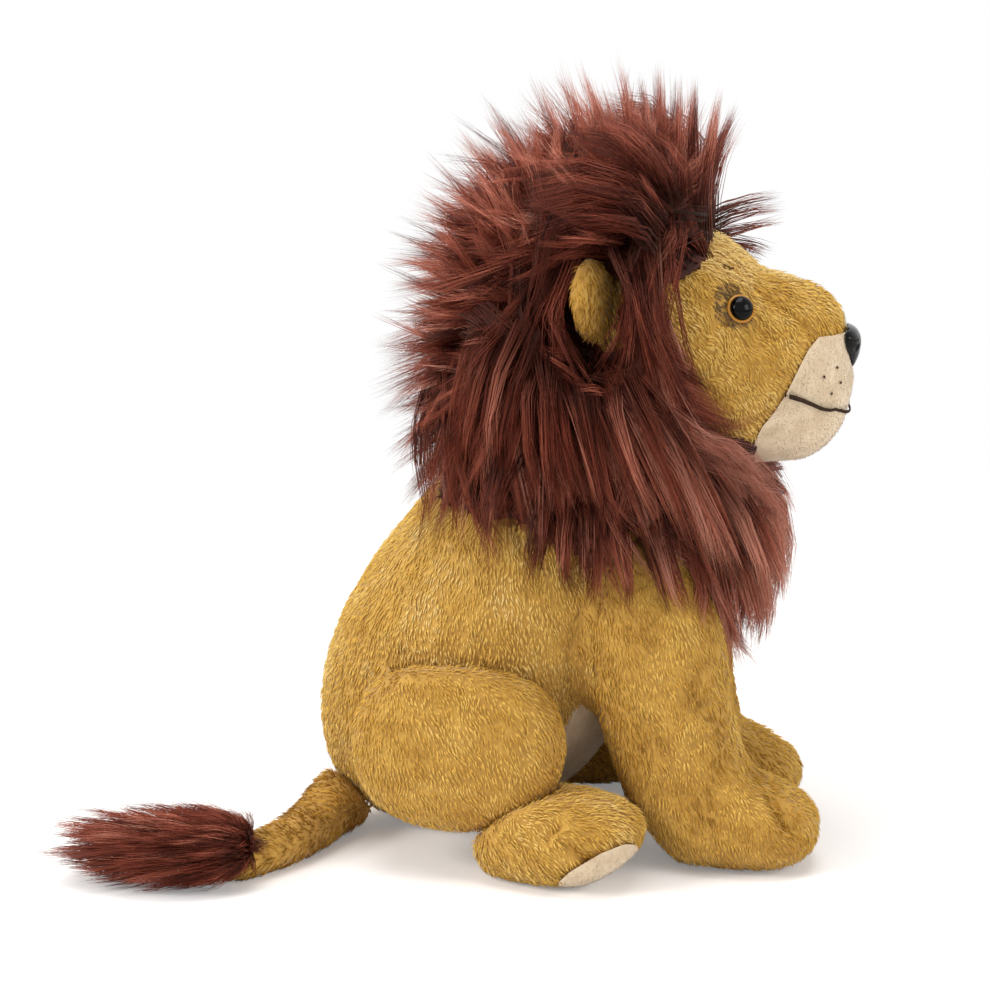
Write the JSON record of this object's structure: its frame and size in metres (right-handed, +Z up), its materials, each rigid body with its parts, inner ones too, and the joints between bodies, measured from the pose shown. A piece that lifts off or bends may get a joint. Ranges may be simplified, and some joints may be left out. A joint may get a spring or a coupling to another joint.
{
  "type": "plush lion",
  "caption": "Sitting stuffed lion with a long-pile mane, folding ears, and a tail with a tuft that lifts off the floor.",
  "frame": {"origin": "middle of the flat patch under the rump, on the floor", "axes": "+X the way the lion looks, +Y to its left, +Z up"},
  "size_m": [0.2811, 0.1903, 0.2768],
  "materials": {
    "golden_plush": "short dense pile",
    "cream_plush": "short shorn pile",
    "long_pile": "long combed pile",
    "filling": "loose fibre",
    "black_plastic": "polished",
    "white_plastic": "moulded"
  },
  "bodies": {
    "lion": {"torso": "golden_plush", "belly_panel": "cream_plush", "torso_stuffing": "filling", "head": "golden_plush", "muzzle": "cream_plush", "chin": "cream_plush", "head_stuffing": "filling", "eye_right": "black_plastic", "eye_left": "black_plastic", "eye_washer_right": "white_plastic", "eye_washer_left": "white_plastic", "nose": "black_plastic", "nose_washer": "white_plastic", "mane_crown": "long_pile", "mane_right": "long_pile", "mane_left": "long_pile", "mane_bib": "long_pile", "front_leg_right": "golden_plush", "front_leg_left": "golden_plush", "thigh_right": "golden_plush", "thigh_left": "golden_plush", "hind_foot_right": "golden_plush", "hind_foot_left": "golden_plush", "sole_right": "cream_plush", "sole_left": "cream_plush"},
    "right_ear": {"ear_right": "golden_plush"},
    "left_ear": {"ear_left": "golden_plush"},
    "tail_and_tuft": {"tail": "golden_plush", "tail_tuft": "long_pile"}
  },
  "joints": [
    {"name": "ear_right_fold", "type": "hinge", "parent": "lion", "child": "right_ear", "pos_m": [0.07032, -0.03994, 0.2016], "axis": [0, -0.342, -0.9397], "range_deg": [0, 35], "stiffness_Nm_per_rad": 0.01},
    {"name": "ear_left_fold", "type": "hinge", "parent": "lion", "child": "left_ear", "pos_m": [0.07032, 0.03994, 0.2016], "axis": [0, -0.342, 0.9397], "range_deg": [0, 35], "stiffness_Nm_per_rad": 0.01},
    {"name": "tail_lift", "type": "hinge", "parent": "lion", "child": "tail_and_tuft", "pos_m": [-0.03198, -0.01794, 0.0245], "axis": [-0.8339, 0.552, 0], "range_deg": [0, 50]}
  ]
}
